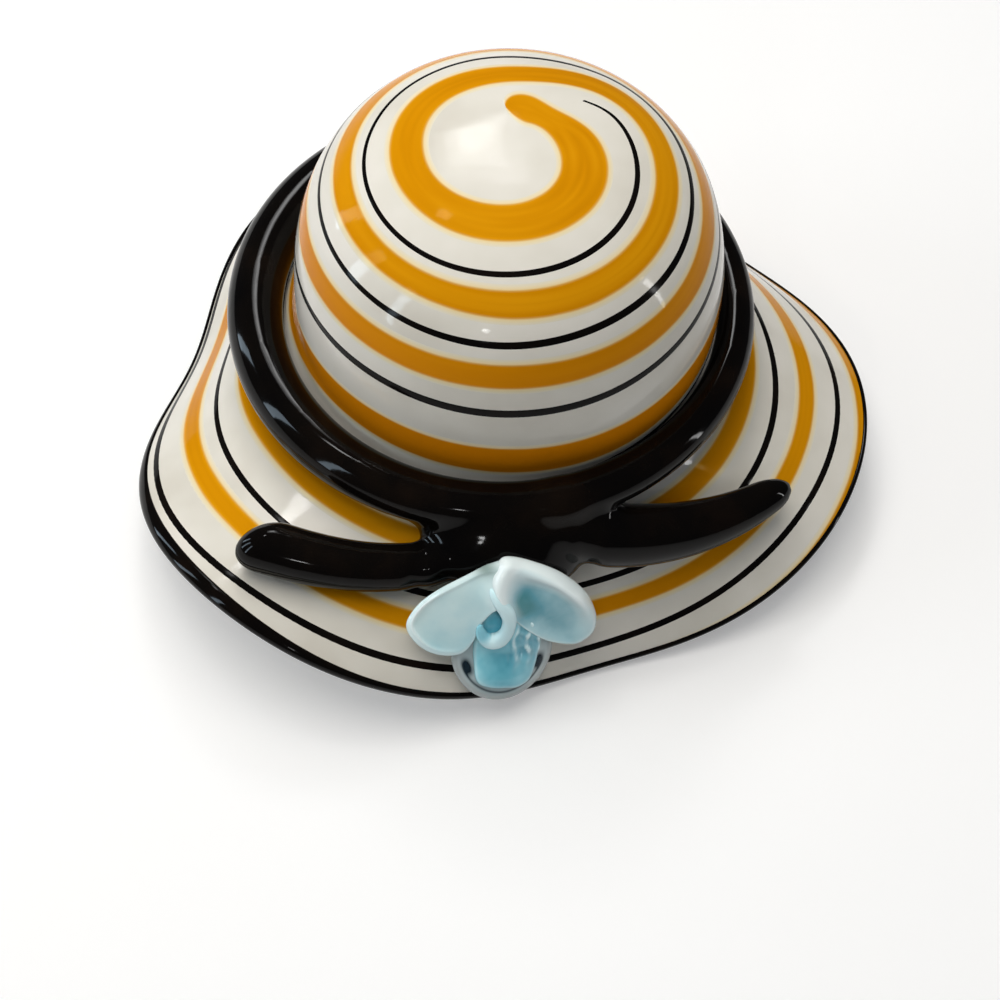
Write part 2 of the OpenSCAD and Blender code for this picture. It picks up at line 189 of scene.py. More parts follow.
pale = addNode(tree, "ShaderNodeValToRGB", [frayed], stops=[
    (0.0, "#E7E3D8"), (0.3, "#EDE2C6"), (0.55, "#F2DDAC"), (0.75, "#EBC677")])
fringe = addNode(tree, "ShaderNodeMix", {"Factor": thin, "A": honey, "B": pale}, data_type="RGBA")
tree.links.new(fringe.outputs[2], shader.inputs["Base Color"])

# Black glass, hot-worked rod and thread: near black with a breath of brown, smooth and deeply glossy
blackGlass, tree, shader, clouds = startGlass(
    "blackGlass", 20.0, 9.0, 0.06, Roughness=0.07, IOR=1.5, Specular_IOR_Level=0.12)
tree.links.new(addNode(tree, "ShaderNodeValToRGB", [clouds], stops=[
    (0.3, "#070606"), (0.55, "#0D0A08"), (0.75, "#17100B")]).outputs[0], shader.inputs["Base Color"])

# Black glass thread, melted flush into the white: the same black, with next to no gloss of its own
blackThread, tree, shader, clouds = startGlass(
    "blackThread", 20.0, 9.0, 0.06, Roughness=0.1, IOR=1.5, Specular_IOR_Level=0.06)
tree.links.new(addNode(tree, "ShaderNodeValToRGB", [clouds], stops=[
    (0.3, "#0B0A0A"), (0.55, "#110E0C"), (0.75, "#1B140F")]).outputs[0], shader.inputs["Base Color"])

# Ice-blue glass, pressed petals: milky and cool, white where a rim is rolled thick, with a painted highlight along one
# ridge, bluer in the cups, with a painted shade by the crest, and sheer where it is thin over the black knot
iceGlass, tree, shader, clouds, rolled, cupped, sheer = startGlass(
    "iceGlass", 9.0, 7.0, 0.2, ("rolled", "cupped", "sheer"), Roughness=0.05, IOR=1.5, Specular_IOR_Level=0.5)
milky = addNode(tree, "ShaderNodeMath", [clouds, 0.5, cupped], operation="MULTIPLY_ADD")  # cups with soft clouds
milky = addNode(tree, "ShaderNodeMath", [milky, 0.25], operation="SUBTRACT")
petal = addNode(tree, "ShaderNodeValToRGB", [milky], stops=[
    (0.0, "#D2EAEA"), (0.4, "#A6D3DC"), (0.8, "#549FB0"), (1.0, "#37878F")])
rimmed = addNode(tree, "ShaderNodeMix", {"Factor": rolled, "A": petal, "B": linear("#F0FCFC")}, data_type="RGBA")
veiled = addNode(tree, "ShaderNodeMix", {"Factor": sheer, "A": rimmed.outputs[2], "B": linear("#6E857C")},
                 data_type="RGBA")
tree.links.new(veiled.outputs[2], shader.inputs["Base Color"])

# Aqua glass, drawn while soft: clear blue-green, white where it is rolled, with painted highlights along the crests of
# its folds
aquaGlass, tree, shader, clouds, rolled = startGlass(
    "aquaGlass", 14.0, 6.0, 0.2, ("rolled",), Roughness=0.06, IOR=1.5, Specular_IOR_Level=0.5)
depths = addNode(tree, "ShaderNodeValToRGB", [clouds], stops=[(0.3, "#54A8BD"), (0.5, "#78C5D5"), (0.7, "#A8DFE8")])
pale = addNode(tree, "ShaderNodeMix", {"Factor": rolled, "A": depths, "B": linear("#D8F4F8")}, data_type="RGBA")
tree.links.new(pale.outputs[2], shader.inputs["Base Color"])

# Clear glass, a pressed drop: colourless with a cool milky cast, with a painted dark line and spots where its edge
# bends the black thread under it
clearGlass, tree, shader, clouds, bent, rolled = startGlass(
    "clearGlass", 12.0, 9.0, 0.1, ("bent", "rolled"), Roughness=0.05, IOR=1.45, Transmission_Weight=0.3)
milky = addNode(tree, "ShaderNodeValToRGB", [clouds], stops=[(0.35, "#C6D5D7"), (0.65, "#DEE9EA")])
rimmed = addNode(tree, "ShaderNodeMix", {"Factor": rolled, "A": milky, "B": linear("#C2CACA")}, data_type="RGBA")
shaded = addNode(tree, "ShaderNodeMix", {"Factor": bent, "A": rimmed.outputs[2], "B": linear("#22323C")},
                 data_type="RGBA")
tree.links.new(shaded.outputs[2], shader.inputs["Base Color"])
print("materials done")

# Hat form: a squared dome, a hollow neck and a brim that falls in three lobes

hatSize = {  # mm and degrees, clockwise from above, with the front at 90
    "Crown Radius": 64.0, "Crown Height": 66.0, "Squareness": 2.9, "Wall": 4.0, "Sink": 0.06,
    "Neck Drop": 1.0, "Neck Fillet": 20.0, "Brim Run": 70.0, "Lobe Drop": 60.0, "Lobe At": 67.0,
    "Lift Mean": 19.5, "Lift Swing": 12.5, "Lift At": 107.0, "Lift Oval": 5.0, "Lift Oval At": 155.0,
}
hatMesh = {"Columns": 313, "Rows": 300, "Outer Rows": 200, "Past Edge": 0.0, "Closed": True}
formMesh = {"Columns": 721, "Rows": 420, "Outer Rows": 420, "Past Edge": 9.0, "Closed": False}
backSeam = 270.0  # the form opens at the back
lobeCount = 3.0
firstSlope, slopeSteps = 0.75, 5  # a first guess in radians and how often it is bettered
weldGap = 1e-6  # metres

lobeRule = [  # how steep the brim has to fall for its edge to be where the lobes put it
    ("turn", "MULTIPLY_ADD", "Lobe At", -degree, "angle"), ("turn", "MULTIPLY", "turn", lobeCount),
    ("wave", "COSINE", "turn"), ("share", "MULTIPLY_ADD", "wave", -0.5, 0.5),
    ("turn", "MULTIPLY_ADD", "Lift At", -degree, "angle"), ("swing", "COSINE", "turn"),
    ("turn", "MULTIPLY_ADD", "Lift Oval At", -degree, "angle"), ("turn", "MULTIPLY", "turn", 2.0),
    ("oval", "COSINE", "turn"), ("lift", "MULTIPLY_ADD", "Lift Swing", "swing", "Lift Mean"),
    ("lift", "MULTIPLY_ADD", "Lift Oval", "oval", "lift"), ("lift", "MULTIPLY", "lift", "share"),
    ("depth", "SUBTRACT", "Lobe Drop", "lift"), ("depth", "SUBTRACT", "depth", "Neck Drop"),
    ("slope", "ADD", firstSlope, 0.0),
]
slopeStep = [  # one step nearer to that slope
    ("straight", "SUBTRACT", "slope", math.pi / 2), ("straight", "MULTIPLY_ADD", "straight", "Neck Fillet", "Brim Run"),
    ("sine", "SINE", "slope"), ("cosine", "COSINE", "slope"), ("reach", "MULTIPLY", "straight", "sine"),
    ("reach", "MULTIPLY_ADD", "Neck Fillet", "cosine", "reach"), ("miss", "SUBTRACT", "reach", "depth"),
    ("gain", "MULTIPLY", "straight", "cosine"), ("miss", "DIVIDE", "miss", "gain"),
    ("slope", "SUBTRACT", "slope", "miss"),
]
rowRule = [  # rows go down the outside and back up the inside
    ("lastRow", "SUBTRACT", "Rows", 1.0), ("row", "MULTIPLY", "down", "lastRow"),
    ("lastOuter", "SUBTRACT", "Outer Rows", 1.0), ("outer", "DIVIDE", "row", "lastOuter"),
    ("left", "SUBTRACT", "lastRow", "row"), ("innerRows", "SUBTRACT", "lastRow", "Outer Rows"),
    ("inner", "DIVIDE", "left", "innerRows"), ("limit", "SUBTRACT", "Outer Rows", 0.5),
    ("inside", "GREATER_THAN", "row", "limit"), ("gap", "SUBTRACT", "inner", "outer"),
    ("outer", "MULTIPLY_ADD", "inside", "gap", "outer"), ("full", "ADD", "Neck Drop", "Brim Run"),
    ("full", "ADD", "full", "Past Edge"), ("full", "ADD", "full", 90.0), ("place", "MULTIPLY", "outer", "full"),
]
domeRule = [
    ("theta", "MINIMUM", "place", 90.0), ("theta", "MULTIPLY", "theta", degree), ("sine", "SINE", "theta"),
    ("cosine", "COSINE", "theta"), ("cosine", "MAXIMUM", "cosine", 0.0), ("side", "DIVIDE", "sine", "Crown Radius"),
    ("top", "DIVIDE", "cosine", "Crown Height"), ("sideSum", "POWER", "side", "Squareness"),
    ("topSum", "POWER", "top", "Squareness"), ("sum", "ADD", "sideSum", "topSum"),
    ("root", "DIVIDE", -1.0, "Squareness"), ("reach", "POWER", "sum", "root"),
    ("radius", "MULTIPLY", "reach", "sine"), ("height", "MULTIPLY", "reach", "cosine"),
    ("less", "SUBTRACT", "Squareness", 1.0), ("side", "POWER", "side", "less"),
    ("side", "DIVIDE", "side", "Crown Radius"), ("top", "POWER", "top", "less"),
    ("top", "DIVIDE", "top", "Crown Height"), ("sideSum", "MULTIPLY", "side", "side"),
    ("sum", "MULTIPLY_ADD", "top", "top", "sideSum"), ("length", "SQRT", "sum"),
    ("side", "DIVIDE", "side", "length"), ("top", "DIVIDE", "top", "length"),
]
brimRule = [
    ("below", "SUBTRACT", "place", 90.0), ("onBrim", "GREATER_THAN", "below", 0.0), ("below", "MAXIMUM", "below", 0.0),
    ("drop", "MINIMUM", "below", "Neck Drop"), ("run", "SUBTRACT", "below", "drop"),
    ("bent", "DIVIDE", "run", "Neck Fillet"), ("most", "SUBTRACT", math.pi / 2, "slope"),
    ("bent", "MINIMUM", "bent", "most"), ("flat", "MULTIPLY", "bent", "Neck Fillet"),
    ("flat", "SUBTRACT", "run", "flat"), ("cosine", "COSINE", "bent"), ("sine", "SINE", "bent"),
    ("out", "SUBTRACT", 1.0, "cosine"),
    ("radius", "MULTIPLY_ADD", "out", "Neck Fillet", "radius"), ("across", "COSINE", "slope"),
    ("radius", "MULTIPLY_ADD", "flat", "across", "radius"), ("height", "SUBTRACT", "height", "drop"),
    ("fall", "MULTIPLY", "sine", "Neck Fillet"), ("height", "SUBTRACT", "height", "fall"), ("fall", "SINE", "slope"),
    ("fall", "MULTIPLY", "flat", "fall"), ("height", "SUBTRACT", "height", "fall"),
    ("gap", "SUBTRACT", "cosine", "side"), ("side", "MULTIPLY_ADD", "onBrim", "gap", "side"),
    ("gap", "SUBTRACT", "sine", "top"), ("top", "MULTIPLY_ADD", "onBrim", "gap", "top"),
]
wallRule = [
    ("thick", "SUBTRACT", "Sink", "Wall"), ("depth", "MULTIPLY", "inside", "thick"),
    ("depth", "SUBTRACT", "depth", "Sink"), ("radius", "MULTIPLY_ADD", "side", "depth", "radius"),
    ("height", "MULTIPLY_ADD", "top", "depth", "height"), ("cosine", "COSINE", "angle"), ("sine", "SINE", "angle"),
    ("sine", "MULTIPLY", "sine", -1.0), ("x", "MULTIPLY", "radius", "cosine"), ("y", "MULTIPLY", "radius", "sine"),
    ("upX", "MULTIPLY", "side", "cosine"), ("upY", "MULTIPLY", "side", "sine"),
]

tree, given = newTree("hatForm", [(label, "Float") for label in hatSize] + [
    ("Columns", "Int"), ("Rows", "Int"), ("Outer Rows", "Int"), ("Past Edge", "Float"), ("Closed", "Bool"),
    ("Centre", "Vector"), ("Material", "Material")])
grid = addNode(tree, "GeometryNodeMeshGrid", [1.0, 1.0, given["Columns"], given["Rows"]])
spot = addNode(tree, "ShaderNodeSeparateXYZ", [addNode(tree, "GeometryNodeInputPosition")]).outputs
known = {socket.name: socket for socket in given}
known["around"] = addNode(tree, "ShaderNodeMath", [spot["X"], 0.5], operation="ADD")
known["down"] = addNode(tree, "ShaderNodeMath", [spot["Y"], 0.5], operation="ADD")
known["angle"] = addNode(tree, "ShaderNodeMath", [known["around"], 2 * math.pi, backSeam * degree],
                         operation="MULTIPLY_ADD")
for result, operation, *parts in lobeRule + slopeStep * slopeSteps + rowRule + domeRule + brimRule + wallRule:
    known[result] = addNode(tree, "ShaderNodeMath", [known.get(part, part) for part in parts], operation=operation)
point = addNode(tree, "ShaderNodeCombineXYZ", [known["x"], known["y"], known["height"]])
point = addNode(tree, "ShaderNodeVectorMath", [point, (mm, mm, mm), given["Centre"]], operation="MULTIPLY_ADD")
upward = addNode(tree, "ShaderNodeCombineXYZ", [known["upX"], known["upY"], known["top"]])
unrolled = addNode(tree, "ShaderNodeCombineXYZ", [known["around"], known["down"], 0.0])
stored = addNode(tree, "GeometryNodeStoreNamedAttribute", {"Geometry": grid, "Name": "unrolled", "Value": unrolled},
                 data_type="FLOAT_VECTOR", domain="POINT")
stored = addNode(tree, "GeometryNodeStoreNamedAttribute", {"Geometry": stored, "Name": "glassUp", "Value": upward},
                 data_type="FLOAT_VECTOR", domain="POINT")
placed = addNode(tree, "GeometryNodeSetPosition", {"Geometry": stored, "Position": point})
welded = addNode(tree, "GeometryNodeMergeByDistance", [placed, given["Closed"], weldGap])
closeTree(tree, welded, given["Material"])
hatTree = tree

sinkFree = {**hatSize, "Sink": 0.0, "Wall": 0.0}
centre = [c * mm for c in crownCentre]
glassForm = newObject("glassForm", bpy.data.meshes.new("glassForm"))
grow(glassForm, hatTree, {**sinkFree, **formMesh, "Centre": centre, "Material": opalGlass})
glassForm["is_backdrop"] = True
opalShell = newObject("opalShell", bpy.data.meshes.new("opalShell"))
grow(opalShell, hatTree, {**hatSize, **hatMesh, "Centre": centre, "Material": opalGlass})
faceOut(opalShell)
hand(opalShell, "opal_glass", "opal_shell")

# Everything on the hat is drawn flat, as degrees round, place down the glass and height over it, then laid on the form

fullPlace = 90 + hatSize["Neck Drop"] + hatSize["Brim Run"] + formMesh["Past Edge"]
edgePlace = fullPlace - formMesh["Past Edge"]
wideLine = 90 + hatSize["Neck Drop"]
farAway = -9.0  # metres, so that only the height is held above the floor

tree, given = newTree("layOnGlass", [("Geometry", "Geometry"), ("Form", "Object"), ("Full Place", "Float"),
                                     ("Floor", "Float"), ("Material", "Material")])
form = addNode(tree, "GeometryNodeObjectInfo", [given["Form"]], transform_space="ORIGINAL").outputs["Geometry"]
spot = addNode(tree, "ShaderNodeSeparateXYZ", [addNode(tree, "GeometryNodeInputPosition")]).outputs
turn = addNode(tree, "ShaderNodeMath", [spot["X"], backSeam], operation="SUBTRACT")
turn = addNode(tree, "ShaderNodeMath", [turn, 360.0], operation="DIVIDE")
turn = addNode(tree, "ShaderNodeMath", [turn], operation="FRACT")
down = addNode(tree, "ShaderNodeMath", [spot["Y"], given["Full Place"]], operation="DIVIDE", use_clamp=True)
seek = addNode(tree, "ShaderNodeCombineXYZ", [turn, down, 0.0])
unrolled = addNode(tree, "GeometryNodeInputNamedAttribute", ["unrolled"], data_type="FLOAT_VECTOR")
upward = addNode(tree, "GeometryNodeInputNamedAttribute", ["glassUp"], data_type="FLOAT_VECTOR")
here = addNode(tree, "GeometryNodeInputPosition")
point = addNode(tree, "GeometryNodeSampleUVSurface", [form, here, unrolled, seek], data_type="FLOAT_VECTOR")
upward = addNode(tree, "GeometryNodeSampleUVSurface", [form, upward, unrolled, seek], data_type="FLOAT_VECTOR")
height = addNode(tree, "ShaderNodeMath", [spot["Z"], mm], operation="MULTIPLY")
raised = addNode(tree, "ShaderNodeVectorMath", {"Vector": upward, "Scale": height}, operation="SCALE")
point = addNode(tree, "ShaderNodeVectorMath", [point, raised], operation="ADD")
stand = addNode(tree, "ShaderNodeCombineXYZ", [farAway, farAway, given["Floor"]])
point = addNode(tree, "ShaderNodeVectorMath", [point, stand], operation="MAXIMUM")
placed = addNode(tree, "GeometryNodeSetPosition", {"Geometry": given["Geometry"], "Position": point})
closeTree(tree, placed, given["Material"])
layTree = tree


def skinRings(name, rings, looped=False, marks={}):  # closed skin over rings of equal count, with point marks
    rings = np.asarray(rings, float)
    count, sides = rings.shape[:2]
    points = rings.reshape(-1, 3).tolist()
    quads = [(i * sides + j, i * sides + (j + 1) % sides, (i + 1) % count * sides + (j + 1) % sides,
              (i + 1) % count * sides + j) for i in range(count if looped else count - 1) for j in range(sides)]
    if not looped:
        for end, ring in ((0, rings[0]), (count - 1, rings[-1])):
            points.append(ring.mean(0).tolist())
            quads += [(len(points) - 1, end * sides + j, end * sides + (j + 1) % sides) for j in range(sides)]
    mesh = bpy.data.meshes.new(name)
    mesh.from_pydata(points, [], quads)
    for mark, values in marks.items():
        values = np.broadcast_to(np.asarray(values, float), (count, sides))
        full = np.concatenate([values.ravel()] + ([] if looped else [[values[0].mean()], [values[-1].mean()]]))
        mesh.attributes.new(mark, "FLOAT", "POINT").data.foreach_set("value", full)
    return newObject(name, mesh)


def lay(obj, material):
    grow(obj, layTree, {"Form": glassForm, "Full Place": fullPlace, "Floor": 0.0, "Material": material})
    return faceOut(obj, weldGap)


# Spiral trails, melted flush into the shell

trail = {"perTurn": 240, "depth": 0.7, "crown": 0.08, "crownPower": 6, "thinnest": 0.05,
         "startRound": 28.0, "startWidth": 12.0,  # degrees that the rounded start takes at this width
         "top": [-1, -0.985, -0.85, -0.65, -0.35, 0, 0.35, 0.65, 0.85, 0.985, 1], "under": [0.9, 0, -0.9]}
amberRoute = [  # degrees travelled, distance along the glass from the top, width
    (251, 16.6, 13.0), (264, 16.8, 12.6), (278, 15.2, 9.6), (290, 14.0, 6.8), (305, 14.2, 7.0), (320, 15.0, 9.2),
    (332, 16.2, 11.4), (360, 18.0, 13.0), (390, 20.2, 12.8), (420, 22.1, 11.4), (450, 24.2, 10.8),
    (480, 26.6, 10.2), (510, 29.4, 9.2), (540, 31.5, 9.0), (562, 32.7, 9.0), (580, 32.4, 8.8), (600, 30.6, 7.8),
    (630, 29.6, 6.8), (645, 31.2, 7.0), (660, 36.4, 8.6), (675, 40.6, 7.8), (690, 41.8, 7.0), (720, 43.0, 7.5),
    (780, 46.3, 7.2), (810, 47.3, 7.0), (840, 48.5, 5.8), (870, 50.3, 5.8), (900, 51.9, 6.6), (920, 53.2, 6.2),
    (950, 52.2, 6.6), (990, 50.0, 6.8), (1020, 52.6, 7.0), (1050, 57.6, 7.4), (1080, 61.9, 7.8), (1110, 65.0, 6.6),
    (1140, 66.6, 6.4), (1170, 68.0, 7.0), (1200, 69.6, 6.6), (1230, 71.7, 6.8), (1260, 75.0, 7.4),
    (1350, 80.5, 9.0), (1440, 93.6, 11.0), (1470, 99.8, 11.8), (1500, 102.0, 11.8), (1530, 102.4, 11.6),
    (1560, 103.2, 11.4), (1585, 106.6, 11.8), (1600, 110.6, 11.4), (1615, 114.6, 11.0), (1630, 117.0, 10.6),
    (1700, 123.0, 9.0), (1790, 132.8, 4.6), (1800, 133.8, 5.2), (1820, 134.8, 6.0), (1840, 136.6, 6.2),
    (1905, 135.9, 5.6), (1920, 136.9, 6.0), (1940, 137.9, 5.6), (1950, 138.7, 5.6), (1965, 140.6, 5.4),
    (2040, 148.0, 6.0), (2150, 154.6, 5.2), (2160, 157.0, 5.2), (2190, 158.6, 4.8), (2220, 160.2, 5.0),
    (2250, 159.6, 4.8), (2265, 159.0, 4.8), (2290, 161.0, 5.4), (2310, 161.9, 5.4), (2330, 162.4, 5.4),
    (2345, 164.6, 5.4), (2400, 169.0, 5.6), (2490, 177.4, 5.6), (2520, 179.4, 4.8), (2540, 180.6, 4.0),
    (2560, 182.0, 3.6), (2610, 185.0, 3.2), (2650, 188.0, 3.0), (2700, 190.0, 3.0)]
blackRoute = [
    (306, 26.0, 0.6), (314, 29.4, 0.8), (320, 31.4, 1.1), (330, 31.9, 1.2), (360, 33.4, 1.5), (390, 35.3, 1.6),
    (420, 37.3, 1.6), (450, 39.2, 1.6), (480, 41.3, 1.3), (510, 42.9, 1.2), (540, 44.2, 1.1), (570, 43.8, 1.2),
    (600, 41.8, 1.3), (630, 40.4, 1.3), (650, 42.6, 1.4), (670, 48.0, 1.4), (690, 51.0, 1.6), (720, 52.7, 1.8),
    (750, 54.9, 2.1), (780, 56.5, 2.1), (810, 58.7, 2.0), (840, 59.8, 1.6), (870, 61.0, 1.4), (900, 62.4, 1.4),
    (930, 62.8, 1.5), (990, 62.4, 1.7), (1040, 66.4, 1.8), (1080, 71.6, 1.9), (1110, 75.8, 2.1), (1140, 79.0, 2.6),
    (1170, 81.0, 2.8), (1200, 82.0, 2.7), (1230, 84.7, 2.4), (1260, 89.0, 2.2), (1350, 96.0, 2.0),
    (1530, 116.0, 2.0), (1700, 132.0, 2.0), (1788, 140.8, 2.0), (1800, 144.0, 2.3), (1815, 146.8, 2.2),
    (1830, 148.8, 2.0), (1860, 151.2, 2.0), (1905, 150.8, 2.0), (1925, 152.3, 1.9), (1950, 152.4, 1.7),
    (1970, 152.6, 1.7), (2040, 160.0, 1.9), (2130, 166.0, 2.0), (2160, 169.3, 2.0), (2190, 168.7, 2.0),
    (2205, 170.2, 2.1), (2220, 172.8, 2.2), (2232, 173.4, 2.2), (2255, 171.4, 2.2), (2280, 172.9, 2.1),
    (2295, 175.9, 2.0), (2305, 176.4, 1.9), (2315, 175.6, 1.9), (2325, 176.0, 2.0), (2400, 180.0, 2.0),
    (2520, 188.0, 2.0)]
domeSteps = 2001  # fine enough to measure along the dome
theta = np.linspace(0, math.pi / 2, domeSteps)
square = hatSize["Squareness"]
reach = ((np.sin(theta) / hatSize["Crown Radius"]) ** square
         + (np.clip(np.cos(theta), 0, 1) / hatSize["Crown Height"]) ** square) ** (-1 / square)
domeLine = np.stack([reach * np.sin(theta), reach * np.cos(theta)], 1)
domeLength = np.concatenate([[0], np.cumsum(np.linalg.norm(np.diff(domeLine, axis=0), axis=1))])
wideAt = domeLength[-1] + hatSize["Neck Drop"]
edgeAt = wideAt + hatSize["Brim Run"]


def placeAt(distance):  # distance along the glass from the top to the form's rows
    distance = np.asarray(distance, float)
    return np.interp(distance, domeLength, theta / degree) + np.maximum(distance - domeLength[-1], 0)


def layTrail(name, route, fringe, even, material):  # a ribbon with a low crown that follows a route on the glass
    stops = np.array(route, float)
    step = 360 / trail["perTurn"]
    travelled = np.arange(stops[0, 0], stops[-1, 0], step)
    reachOver = np.arange(-3 * even, 3 * even + step, step)  # degrees over which the route is evened out
    weights = np.exp(-0.5 * (reachOver / even) ** 2)
    before, after = reachOver[reachOver < -step / 2], reachOver[reachOver > step / 2]
    padded = np.concatenate([travelled[0] + before, travelled, travelled[-1] + after])
    middle, wide = [np.convolve(np.interp(padded, stops[:, 0], stops[:, k]), weights / weights.sum(), "valid")
                    for k in (1, 2)]
    travelled = travelled[:len(middle)]
    start = np.clip((travelled - travelled[0]) / (trail["startRound"] * stops[0, 2] / trail["startWidth"]), 0, 1)
    half = (wide / 2 + fringe) * np.sqrt(1 - (1 - start) ** 2)
    keep = (middle - half < edgeAt) & (half > trail["thinnest"])
    middle, half, travelled = middle[keep], half[keep], travelled[keep]
    across = np.array(trail["top"] + trail["under"])
    onTop = np.arange(len(across)) < len(trail["top"])
    height = np.where(onTop, -trail["crown"] * np.abs(across) ** trail["crownPower"], -trail["depth"])
    distance = np.minimum(middle[:, None] + half[:, None] * across, edgeAt)
    shape = distance.shape
    rings = np.stack([np.broadcast_to(travelled[:, None], shape), placeAt(distance), np.broadcast_to(height, shape)], 2)
    marks = {"rim": np.broadcast_to(half[:, None] * (1 - np.abs(across)), shape),  # mm in from the ribbon's edge
             "along": np.broadcast_to(travelled[:, None] / 360, shape)}  # turns
    return lay(skinRings(name, rings, marks=marks), material)


amberTrail = layTrail("amberTrail", amberRoute, fringe=2.4, even=14.0, material=amberGlass)
blackTrail = layTrail("blackTrail", blackRoute, fringe=0.1, even=8.0, material=blackThread)
hand(amberTrail, "amber_glass", "amber_trail")
hand(blackTrail, "black_glass", "black_trail")

# Lip wrap, a thread laid round the cut edge and doubled at the left front

lip = {"out": 1.5, "swing": 0.35, "swingAt": 150.0, "lap": 0.6, "inward": 1.3, "extra": 2.2, "extraAt": 138.0,
       "extraHalf": 40.0, "stations": 360, "sides": 20}
angle = np.arange(lip["stations"]) * 360 / lip["stations"]
away = np.abs((angle - lip["extraAt"] + 540) % 360 - 180)
wide = lip["out"] + lip["swing"] * np.cos((angle - lip["swingAt"]) * degree)
wide += lip["extra"] * np.where(away < lip["extraHalf"], (1 + np.cos(math.pi * away / lip["extraHalf"])) / 2, 0)
ringTurn = np.arange(lip["sides"]) * 2 * math.pi / lip["sides"]
outward = np.where(np.cos(ringTurn) > 0, wide[:, None], lip["inward"]) * np.cos(ringTurn)
high = -hatSize["Wall"] / 2 + (hatSize["Wall"] / 2 + lip["lap"]) * np.sin(ringTurn)
rings = np.stack([np.broadcast_to(angle[:, None], outward.shape), edgePlace + outward,
                  np.broadcast_to(high, outward.shape)], 2)
lipWrap = lay(skinRings("lipWrap", rings, looped=True), blackGlass)
hand(lipWrap, "black_glass", "lip_wrap")
print("trails and lip wrap done")

# Hat band, a rod that lies in the hollow of the neck, with its ends pressed into the knot

band = {"rod": 7.1, "swell": 1.4, "swellAt": 172.0, "seat": 29.0, "slack": 22.0, "slackAt": 205.0, "lift": 0.2,
        "join": 85.0, "lump": 0.9, "lumpAt": 73.0, "lumpHalf": 5.0, "stations": 300, "sides": 28}
tree, given = newTree("rodOnPath", [("Geometry", "Geometry"), ("Sides", "Int"), ("Material", "Material")])
thick = addNode(tree, "GeometryNodeInputNamedAttribute", ["rodRadius"], data_type="FLOAT")
path = addNode(tree, "GeometryNodeMeshToCurve", [given["Geometry"]])
section = addNode(tree, "GeometryNodeCurvePrimitiveCircle", {"Resolution": given["Sides"], "Radius": 1.0})
rod = addNode(tree, "GeometryNodeCurveToMesh", [path, section, thick, True])
closeTree(tree, rod, given["Material"])
rodTree = tree

angle = np.linspace(band["join"], band["join"] + 360, band["stations"])
rod = band["rod"] + band["swell"] * np.cos((angle - band["swellAt"]) * degree)
rod += band["lump"] * np.exp(-((angle - 360 - band["lumpAt"]) / band["lumpHalf"]) ** 2)  # where the ends were joined
seat = (band["seat"] + band["slack"] * np.cos((angle - band["slackAt"]) * degree)) * degree
off = hatSize["Neck Fillet"] - rod - band["lift"]
radius = hatSize["Crown Radius"] + hatSize["Neck Fillet"] - off * np.cos(seat)
path = np.stack([radius * np.cos(angle * degree), -radius * np.sin(angle * degree),
                 -hatSize["Neck Drop"] - off * np.sin(seat)], 1) + crownCentre
mesh = bpy.data.meshes.new("bandRod")
mesh.from_pydata((path * mm).tolist(), [(i, i + 1) for i in range(len(path) - 1)], [])
mesh.attributes.new("rodRadius", "FLOAT", "POINT").data.foreach_set("value", rod * mm)
bandRod = grow(newObject("bandRod", mesh), rodTree, {"Sides": band["sides"], "Material": blackGlass})

# Bow: a squeezed knot and two drawn tails, melted together with the band

bow = {"at": 85.0, "stations": 60, "sides": 40, "sunk": 0.6, "voxel": 0.68,
       "even": 25, "pull": 0.5, "push": -0.53, "fill": 12, "runs": 12, "runShare": 0.6,  # how the joins melt
       "knot": {"half": 19.5, "run": 17.0, "runHalf": 19.5, "tall": 16.0, "round": 0.85, "ends": 2.4},
       "left": {"run": 33.0, "fall": 22.5, "sweep": 28.5, "root": 7.4, "end": 9.0, "taper": 1.4, "tip": 0.84,
                "curl": 0.0, "flat": 0.95},
       "right": {"run": 19.0, "fall": 26.5, "sweep": 43.0, "root": 10.8, "end": 4.6, "taper": 1.9, "tip": 0.9,
                 "curl": 6.5, "flat": 0.78},
       "rootTurn": 16.0, "inside": -0.4, "hidden": 0.5, "pinch": 0.08, "pinchHalf": 0.05, "last": 0.999,
       "webs": [(104.0, 14.0, 7.0, 9.0, 12.0), (66.0, 8.0, 9.0, 10.0, 14.0)],  # angle, run, half turn, half run, height
       "webLast": 0.99}
ringTurn = np.arange(bow["sides"]) * 2 * math.pi / bow["sides"]


def bitRing(angle, run, half, tall, roundness=1.0, lifted=0.0):  # section of a bit that lies on the brim
    def bulge(c):
        return np.sign(c) * np.abs(c) ** roundness
    return np.stack([np.full(bow["sides"], angle), wideLine + run + half * bulge(np.cos(ringTurn)),
                     lifted - bow["sunk"] + tall / 2 * (1 + bulge(np.sin(ringTurn)))], 1)


def tailRings(side, tail):
    rings = []
    for t in np.linspace(bow["inside"], bow["last"], bow["stations"]):
        full = tail["root"] + (tail["end"] - tail["root"]) * max(t, 0) ** tail["taper"]
        pinched = bow["pinch"] * math.exp(-(t / bow["pinchHalf"]) ** 2)
        full *= 1 - pinched - bow["hidden"] * max(0, t / bow["inside"]) ** 2
        tip = max(0, (t - tail["tip"]) / (1 - tail["tip"]))
        r = full * math.sqrt(max(0, 1 - tip * tip))
        rings.append(bitRing(bow["at"] + side * (bow["rootTurn"] + tail["sweep"] * t), tail["run"] + tail["fall"] * t,
                             r, 2 * r * tail["flat"], 1.0, tail["curl"] * max(t, 0) ** 3 + (full - r) * tail["flat"]))
    return rings


def knotRings():
    knot = bow["knot"]
    rings = []
    for t in np.linspace(-bow["last"], bow["last"], bow["stations"]):
        full = (1 - abs(t) ** knot["ends"]) ** (1 / knot["ends"])
        rings.append(bitRing(bow["at"] + t * knot["half"], knot["run"], knot["runHalf"] * full, knot["tall"] * full,
                             knot["round"]))
    return rings


